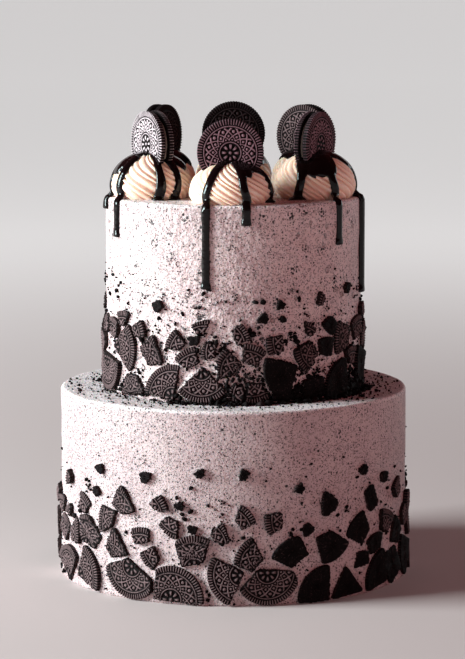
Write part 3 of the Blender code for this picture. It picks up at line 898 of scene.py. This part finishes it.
def pipe_swirl(number, swirl, material):
    """A piped mound: at each height the ridges have turned by the twist, and the radius is the
    outline's less a groove that deepens as one less the absolute cosine of the ridge angle, which
    drifts by sines so that no two ridges are alike."""
    rng = np.random.default_rng(PIPING_SEED + number)
    azimuth, distance, radius, height, _, _ = swirl
    columns = SWIRL_RIDGES * RIDGE_SAMPLES
    turn = round_turn(columns)
    share = np.sin(np.linspace(0, 1, SWIRL_ROWS) * math.pi / 2)[:, None] ** ROWS_TO_TIP * TIP_SHARE
    sway = SWAY * waves(rng, turn, share * 40, 10, 14.0)
    drift = WIDE_DRIFT * np.sin(3 * turn + 2.2 * share + rng.uniform(0, 6))
    drift = drift + FINE_DRIFT * np.sin(8 * turn - 3.0 * share)
    ridge = np.abs(np.cos(SWIRL_RIDGES * turn / 2 + drift))
    fullness = 1 + FULLNESS * np.sin(7 * turn + rng.uniform(0, 6)) * (1 - share)
    groove = (1 - ridge**RIDGE_ROUND) * RIDGE_DEPTH * fullness
    lumps = LUMPS * waves(rng, turn, share * 30, 14, 9.0) * (1 - share)
    reach = radius * outline_share(share) * (1 - groove) + lumps
    wound = turn + SWIRL_TWIST * (share - 1) + sway * (1 - share)
    up = share * height + RIDGE_RISE * (ridge - 0.5) * share
    local = gridded(-reach * np.sin(wound), reach * np.cos(wound), up)
    points = shell(place(local, azimuth, distance, 0, CAKE_TOP))
    piece = make(f"swirl_{number}_cream", [points], material, relief=over_shell(ridge))
    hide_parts(f"swirl_{number}")


def cream_finish():
    """Whipped cream: ivory ridges, warmer and darker in the creases as painted shade, smooth with a
    soft sheen and a few air holes."""
    material, start, place_on = finish_of("whipped_cream", Subsurface_Weight=0.35, Subsurface_Scale=0.004,
        Subsurface_Radius=(1.0, 0.55, 0.3))
    crest = start.attribute("relief").step(0.0, 0.7)
    ivory = place_on.noise(14, 2.0).between((0.90, 0.61, 0.475), (0.93, 0.70, 0.575))
    holes = place_on.specks(2.6, 0.16)
    # Painted shade: the creases between ridges take a darker peach
    feed(material, Base_Color=crest.between((0.80, 0.465, 0.345), ivory))
    feed(material, Roughness=0.36 + place_on.noise(3, 2.0) * 0.2)
    feed(material, Height=place_on.noise(1.6, 3.0) * 0.25 - holes * 0.35)
    return material


whipped = cream_finish()
for number, swirl in enumerate(SWIRLS, 1):
    pipe_swirl(number, swirl, whipped)


# The whole cookies
# Six sandwich cookies, one pushed upright into each swirl: two embossed wafers with their
# patterns outwards and a smaller disc of filling, set back so far that the gap looks dark.

FILLING_THICK = 2.2
FILLING_RADIUS = 19.2
FILLING_SIDES = 96
FILLING_GAP = 0.02
FILLING_ROUND = 0.5
FILLING_WAVES = 0.25
WHOLE_COLUMNS = RIM_TEETH * 4
WHOLE_RINGS = 46
COOKIE_SETTLE = 0.2
FREE_TURN = 12
COOKIE_SEED = 60


def filling_finish():
    """Sandwich filling: a beige dimmed by painted shade for the dark gap between the wafers, clouding
    between two colours and smeared with wafer dust.
    """
    material, _, place_on = finish_of("sandwich_filling", Roughness=0.6)
    cloud = place_on.noise(3, 3.0)
    smears = place_on.jittered(0.8, 0.6).specks(1.6, 0.3) * 0.7
    # Painted shade: both colours are dimmed for the gap between the wafers
    pale = cloud.between((0.30, 0.24, 0.20), (0.46, 0.39, 0.33))
    feed(material, Base_Color=smears.between(pale, (0.10, 0.06, 0.055)), Height=cloud * 0.4)
    return material


filling = filling_finish()
# Lit and shaded copies of one wafer, as painted light and shade: the cookie on the left, which faces the
# light, has the palest crests, two of those behind the darkest, and the front and right ones mauve
mauve_baked = wafer_finish("mauve_wafer", (0.26, 0.135, 0.16))
painted_lit_baked = wafer_finish("painted_lit_wafer", (0.66, 0.51, 0.54))
painted_shade_baked = wafer_finish("painted_shade_wafer", (0.035, 0.02, 0.022))
COOKIE_FINISHES = (mauve_baked, mauve_baked, baked, painted_shade_baked, painted_shade_baked, painted_lit_baked)


def sandwich(number, swirl, finish):
    """A cookie: a whole wafer's shell facing out on each side of a disc of filling, whose radius
    is a little less towards the wafers and wavers."""
    rng = np.random.default_rng(COOKIE_SEED + number)
    azimuth, distance, _, _, facing, height = swirl
    level = CAKE_TOP + height - COOKIE_SETTLE
    inner = FILLING_THICK / 2 + CLEAR
    for name, turned in (("face", 0), ("back", 180)):
        grid, relief = baked_wafer(rng, [], 0, None, WHOLE_COLUMNS, WHOLE_RINGS, WAFER_THICK, 0.0)
        spin = math.radians(rng.uniform(-FREE_TURN, FREE_TURN))
        x = grid[..., 0] * math.cos(spin) - grid[..., 1] * math.sin(spin)
        y = grid[..., 0] * math.sin(spin) + grid[..., 1] * math.cos(spin)
        local = gridded(x, grid[..., 2] + inner, y)
        points = place(local, azimuth, distance, facing + turned, level)
        piece = make(f"cookie_{number}_{name}", [shell(points)], finish, relief=over_shell(relief))
        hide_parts(f"cookie_{number}_{name}_wafer")
    turn = round_turn(FILLING_SIDES)
    half = inner - FILLING_GAP
    through = np.array([-half, -half * 0.5, half * 0.5, half])[:, None]
    waver = FILLING_WAVES * waves(rng, turn, through, 12, 5.0)
    reach = FILLING_RADIUS - FILLING_ROUND * np.abs(through / half) + waver
    local = gridded(reach * np.cos(turn), through, reach * np.sin(turn))
    points = place(local, azimuth, distance, facing, level)
    piece = make(f"cookie_{number}_filling", [shell(points)], filling)
    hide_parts(f"cookie_{number}_cream")


for number, (swirl, finish) in enumerate(zip(SWIRLS, COOKIE_FINISHES), 1):
    sandwich(number, swirl, finish)


# The chocolate sauce
# Dark, glossy sauce poured warm round the foot of each cookie. It coats the swirl's tip, runs
# down its ridges in ribbons, pools on the cake, and drips over the upper tier's edge.

SAUCE_STEP = 0.62
SAUCE_RELAX = 7
COAT_THICK = 1.7
COAT_UNDER = 1.6
COAT_COLUMNS = 144
COAT_ROWS = 18
LOBE_WEAR = 3
COAT_TOP = 0.99
COAT_LOWEST = 0.96
RIBBON_SIDES = 16
RIBBON_STEPS = 16
RIBBON_FROM = 0.9
RIBBON_SINK = 0.3
RIBBON_LEAN = 2.3
POOL_SIDES = 40
POOL_RINGS = 12
POOL_HALF = 1.7
# A drip crosses the brink a little inside the edge and over the top, falls from just below the
# top, a little proud of the side, narrows to a stem, and ends in a bulb
EDGE_AIM = 1.5
BRINK_INSIDE = 1.6
BRINK_ABOVE = 0.3
FALL_FROM = 2.5
FALL_PROUD = 0.25
DRIP_WIDTH = 6.0
DRIP_PROUD = 2.2
DRIP_SLACK = 0.35
STEM_FROM = 2
STEM_OVER = 8
STEM_SHARE = 0.86
BULB = 0.38
BULB_HALF = 2.6
BULB_ABOVE = 2.8
TIP_LENGTH = 2.4
TIP_SHORT = 1.6
SAUCE_SEED = 70
# For each swirl: how far down its coat of sauce comes, as direction from the swirl's centre in
# degrees and share of its height; ribbons that stop on the cake, as direction and width; and
# ribbons that go over the edge, as azimuth on the tier, length and width.
SAUCE = [
    ([(-120, 0.75), (-75, 0.9), (-50, 0.95), (-32, 0.72), (-16, 0.96), (6, 0.97), (22, 0.66), (34, 0.6),
        (50, 0.8), (72, 0.62), (120, 0.7)], [(80, 6.5)], [(-12, 57, 6.6), (5.5, 15, 6.4)]),
    ([(-120, 0.8), (-80, 0.93), (-48, 0.9), (-30, 0.6), (-12, 0.5), (14, 0.48), (32, 0.5), (46, 0.86),
        (66, 0.86), (86, 0.55), (130, 0.7)], [(-24, 7.5)], [(53.5, 31, 6.2), (80, 67, 9.5)]),
    ([(-150, 0.6), (-60, 0.8), (0, 0.62), (60, 0.5), (110, 0.8)], [(60, 6.0), (-150, 5.0)],
        [(112, 22, 5.6), (133, 41, 5.6)]),
    ([(-110, 0.55), (-40, 0.8), (20, 0.6), (110, 0.55), (160, 0.8)], [(110, 6.0), (-110, 6.0)],
        [(171, 33, 5.6), (190, 12, 5.6)]),
    ([(-120, 0.75), (-60, 0.5), (0, 0.75), (80, 0.6), (150, 0.55)], [(-60, 6.0), (150, 5.0)],
        [(-131, 47, 5.6), (-113, 19, 5.6)]),
    ([(-130, 0.6), (-84, 0.45), (-62, 0.6), (-44, 0.95), (-4, 0.96), (14, 0.7), (30, 0.84), (50, 0.8),
        (68, 0.6), (120, 0.7)], [(12, 6.4), (41, 6.4)], [(-79, 10, 7.4), (-63, 27, 6.6)]),
]


def ribbon(path, away, width, depth):
    """A tube along a path: at each point an ellipse as wide across the path as its width and as
    deep, each way, as its depth out along the direction away from what it lies on."""
    along = np.gradient(path, axis=0)
    along /= np.linalg.norm(along, axis=1, keepdims=True)
    away = away - (away * along).sum(1, keepdims=True) * along
    away /= np.linalg.norm(away, axis=1, keepdims=True)
    side = np.cross(along, away)
    turn = round_turn(RIBBON_SIDES)
    flat = np.cos(turn)[None, :, None] * side[:, None] * width[:, None, None] / 2
    proud = np.sin(turn)[None, :, None] * away[:, None] * depth[:, None, None]
    return shell(path[:, None] + flat + proud)


def smooth_path(points, count):
    """Points spaced evenly by length along a line through these, rounded by averaging."""
    for _ in range(2):
        longer = np.concatenate([[0], np.cumsum(np.linalg.norm(np.diff(points, axis=0), axis=1))])
        even = np.linspace(0, longer[-1], count)
        points = gridded(*(np.interp(even, longer, part) for part in points.T))
        points[1:-1] = (points[:-2] + 2 * points[1:-1] + points[2:]) / 4
    return points


def sauce_cap(rng, swirl, edge):
    """The coat on a swirl's tip: its surface lifted by a thickness that dies away at its edge,
    a smooth line through the table's places that wavers a little, and a closed underside."""
    turn = round_turn(COAT_COLUMNS)
    told = np.array(edge)
    lobes = smoothed(np.interp(np.degrees(turn), told[:, 0], told[:, 1], period=360), LOBE_WEAR)
    lobes = lobes + 0.02 * np.sin(11 * turn + rng.uniform(0, 6)) + 0.015 * np.sin(17 * turn)
    part = np.linspace(0, 1, COAT_ROWS)[:, None]
    share = COAT_TOP - (COAT_TOP - np.minimum(lobes, COAT_LOWEST)) * part
    over = on_swirl(swirl, turn, share, COAT_THICK * np.sqrt(np.clip(1.02 - part**3, 0, 1)))
    under = on_swirl(swirl, turn, share[::-1], -COAT_UNDER)
    return shell(np.concatenate([over, under]))


def pool(rng, spot, size):
    """A puddle: a flattened dome whose rim wavers."""
    turn = round_turn(POOL_SIDES)
    tilt = np.linspace(1.45, -1.2, POOL_RINGS)[:, None]
    waver = 1 + 0.12 * np.sin(2 * turn + rng.uniform(0, 6)) + 0.06 * np.sin(5 * turn)
    reach = size * np.cos(tilt) ** 0.6 * waver
    return shell(spot + gridded(reach * np.cos(turn), reach * np.sin(turn), POOL_HALF * np.sin(tilt)))


def run_down(rng, swirl, direction, lowest):
    """The path of a ribbon down a swirl, swaying sideways by a slow sine, and the way out."""
    share = np.linspace(RIBBON_FROM, lowest, RIBBON_STEPS)
    sway = 0.10 * np.sin(np.linspace(0, 4, RIBBON_STEPS) + rng.uniform(0, 6)) * (RIBBON_FROM - share)
    turn = math.radians(direction) + sway
    path = on_swirl(swirl, turn, share, RIBBON_SINK)
    return path, on_swirl(swirl, turn, share, RIBBON_LEAN) - path


def drip(rng, swirl, azimuth, length, width):
    """A ribbon down a swirl and over the tier's edge: its width falls to the stem's and swells
    again as a bell curve round the tip, which closes as a root. A wide one hangs thicker."""
    outward, _, up = across(azimuth)
    to_edge = outward * (UPPER_RADIUS - EDGE_AIM) - across(swirl[0])[0] * swirl[1]
    direction = math.degrees(math.atan2(to_edge[0], -to_edge[1]))
    path, away = run_down(rng, swirl, direction, 0.1)
    end = CAKE_TOP - length
    side = np.linspace(CAKE_TOP - FALL_FROM, end + TIP_SHORT, max(4, length // 3))
    falls = outward * (UPPER_RADIUS + FALL_PROUD) + side[:, None] * up
    brink = [outward * (UPPER_RADIUS - BRINK_INSIDE) + up * (CAKE_TOP + BRINK_ABOVE)]
    count = 30 + 2 * length
    whole = smooth_path(np.concatenate([path, brink, falls]), count)
    lean = np.concatenate([away, [outward + up], np.tile(outward, (len(side), 1))])
    picked = np.linspace(0, len(lean) - 1, count)
    lean = gridded(*(np.interp(picked, np.arange(len(lean)), part) for part in lean.T))
    lean[whole[:, 2] < CAKE_TOP - 3] = outward
    below = CAKE_TOP - whole[:, 2]
    stem = np.clip((below - STEM_FROM) / STEM_OVER, 0, 1)
    heavy = max(1.0, width / DRIP_WIDTH)
    wide = width + (DRIP_WIDTH * STEM_SHARE * heavy - width) * stem
    bulb = np.exp(-(((whole[:, 2] - end - BULB_ABOVE) / BULB_HALF) ** 2)) * (below > 0)
    wide = wide * (1 + BULB * bulb + 0.05 * np.sin(below / 5 + rng.uniform(0, 6)))
    deep = np.where(below > 0, (DRIP_PROUD - DRIP_SLACK) * heavy, COAT_THICK) + DRIP_SLACK * bulb
    tip = np.sqrt(np.clip((whole[:, 2] - end + 0.4) / TIP_LENGTH, 0.05, 1))
    return ribbon(whole, lean, wide * tip, deep * tip)


def sauce_on(number, swirl, edge, short, over_edge):
    """All the sauce of one swirl: its coat, ribbons, pools and drips, fused by a fine remesh and
    relaxed so that they flow into one another."""
    rng = np.random.default_rng(SAUCE_SEED + number)
    shells = [sauce_cap(rng, swirl, edge)]
    for direction, width in short:
        path, away = run_down(rng, swirl, direction, 0.02)
        wide = width * (1 + 0.16 * np.sin(np.linspace(0, 5, RIBBON_STEPS) + rng.uniform(0, 6)))
        shells.append(ribbon(path, away, wide, np.full(RIBBON_STEPS, COAT_THICK)))
        shells.append(pool(rng, path[-1] + away[-1] * 0.5 - np.array([0, 0, 0.4]), width * 0.75))
    shells += [drip(rng, swirl, *hanging) for hanging in over_edge]
    piece = make(f"swirl_{number}_sauce", shells, sauce)
    remesh = piece.modifiers.new("flow", "REMESH")
    remesh.mode = "VOXEL"
    remesh.voxel_size = SAUCE_STEP * MM
    relax = piece.modifiers.new("relax", "SMOOTH")
    relax.factor = 0.5
    relax.iterations = SAUCE_RELAX
    graph = bpy.context.evaluated_depsgraph_get()
    flowed = bpy.data.meshes.new_from_object(piece.evaluated_get(graph))
    piece.modifiers.clear()
    piece.data = flowed
    flowed.shade_smooth()


def sauce_finish():
    """Chocolate sauce: almost black, wet and glossy, with faint unevenness in its shine."""
    material, _, place_on = finish_of("wet_chocolate", Specular_IOR_Level=0.22)
    thin = place_on.noise(5, 2.0)
    feed(material, Base_Color=thin.between((0.0022, 0.001, 0.0012), (0.005, 0.002, 0.002)))
    feed(material, Roughness=0.08 + thin * 0.1, Height=place_on.noise(3.5, 2.0) * 0.3)
    return material


sauce = sauce_finish()
for number, (swirl, poured) in enumerate(zip(SWIRLS, SAUCE), 1):
    sauce_on(number, swirl, *poured)


# The studio
# A plain pale floor that curves up far away and glows a little further out, a large soft light
# on the left, a weak red fill in front on the right, a smaller cool light behind on the right,
# and a dim red glow from all round, which keeps the shade warm.

# For each light: where it is, how wide, how strong, and its colour
KEY_LIGHT = ((-2.1, -0.42, 0.86), 1.0, 149.0, (0.82, 1.0, 1.0))
FILL_LIGHT = ((1.5, -1.6, 0.8), 1.2, 4.6, (1.0, 0.12, 0.13))
EDGE_LIGHT = ((1.6, 1.3, 0.6), 0.6, 4.5, (0.85, 0.98, 1.0))
KEY_AIM = 0.18
LOW_AIM = 0.16
SKY_COLOUR = (1.0, 0.18, 0.19, 1.0)
SKY_STRENGTH = 0.07


def studio_light(name, aim, spot, size, power, colour):
    """A square soft light at a spot, aimed at this height on the cake's axis."""
    lamp = bpy.data.lights.new(name, "AREA")
    lamp.size = size
    lamp.energy = power
    lamp.color = colour
    holder = added(name, lamp)
    holder.location = spot
    tilt = math.atan2(math.hypot(spot[0], spot[1]), spot[2] - aim)
    holder.rotation_euler = (tilt, 0, math.atan2(spot[0], -spot[1]))
    return holder


studio_light("key", KEY_AIM, *KEY_LIGHT)
fill = studio_light("fill", LOW_AIM, *FILL_LIGHT)
fill.visible_glossy = False
studio_light("edge", LOW_AIM, *EDGE_LIGHT)

sky = bpy.data.worlds.new("studio")
sky.use_nodes = True
sky.node_tree.nodes["Background"].inputs["Color"].default_value = SKY_COLOUR
sky.node_tree.nodes["Background"].inputs["Strength"].default_value = SKY_STRENGTH
bpy.context.scene.world = sky
bpy.context.scene.view_settings.view_transform = "Standard"

FLOOR_MIDDLE = 1.0
FLOOR_REACH = 7.0
COVE_REACH = 14.0
COVE_HEIGHT = 3.4
COVE_STEPS = 12
FLOOR_SIDES = 96
FLOOR_COLOUR = (0.55, 0.44, 0.435, 1.0)
GLOW_FROM = 0.25
GLOW_FULL = 2.4
NEAR_GLOW = (0.02, 0.02, 0.02)
FAR_GLOW = (0.55, 0.57, 0.57)
COVE_GLOW = (0.39, 0.395, 0.395)
turn = round_turn(FLOOR_SIDES)
rise = np.linspace(0, 1, COVE_STEPS)
reach = np.concatenate([[FLOOR_MIDDLE], FLOOR_REACH + (COVE_REACH - FLOOR_REACH) * rise])[:, None]
level = np.concatenate([[0.0], COVE_HEIGHT * rise**2])[:, None]
corners = gridded(reach * np.cos(turn), reach * np.sin(turn), level).reshape(-1, 3)
index = np.arange(len(corners)).reshape(-1, FLOOR_SIDES)
rings = np.stack([index[:-1], index[1:], np.roll(index[1:], -1, 1), np.roll(index[:-1], -1, 1)], -1)
ground = bpy.data.meshes.new("floor")
ground.from_pydata(corners.tolist(), [], [index[0].tolist(), *rings.reshape(-1, 4).tolist()])
ground.shade_smooth()
floor_finish, _, spot = finish_of("pale_floor", Base_Color=FLOOR_COLOUR, Roughness=0.7,
    Emission_Strength=1.0)
away = spot.node("ShaderNodeVectorMath", {0: spot}, out="Value", operation="LENGTH")
above = spot.node("ShaderNodeSeparateXYZ", {0: spot}, out="Z")
glow = away.step(GLOW_FROM, GLOW_FULL).between(NEAR_GLOW, FAR_GLOW)
feed(floor_finish, Emission_Color=above.step(0.0, COVE_HEIGHT).between(glow, COVE_GLOW))
ground.materials.append(floor_finish)
floor = added("floor", ground)

# A long lens a little over the cake's height, tilted down
CAMERA_BACK = 1.9253
CAMERA_HEIGHT = 0.4302
CAMERA_PITCH = 0.136
LENS = 154.14
SENSOR = 36.0
AXIS_SHIFT = -0.0015
camera = added("camera", bpy.data.cameras.new("camera"))
camera.data.lens = LENS
camera.data.sensor_width = SENSOR
camera.data.shift_x = AXIS_SHIFT
camera.location = (0.0, -CAMERA_BACK, CAMERA_HEIGHT)
camera.rotation_euler = (math.pi / 2 - CAMERA_PITCH, 0.0, 0.0)
bpy.context.scene.camera = camera
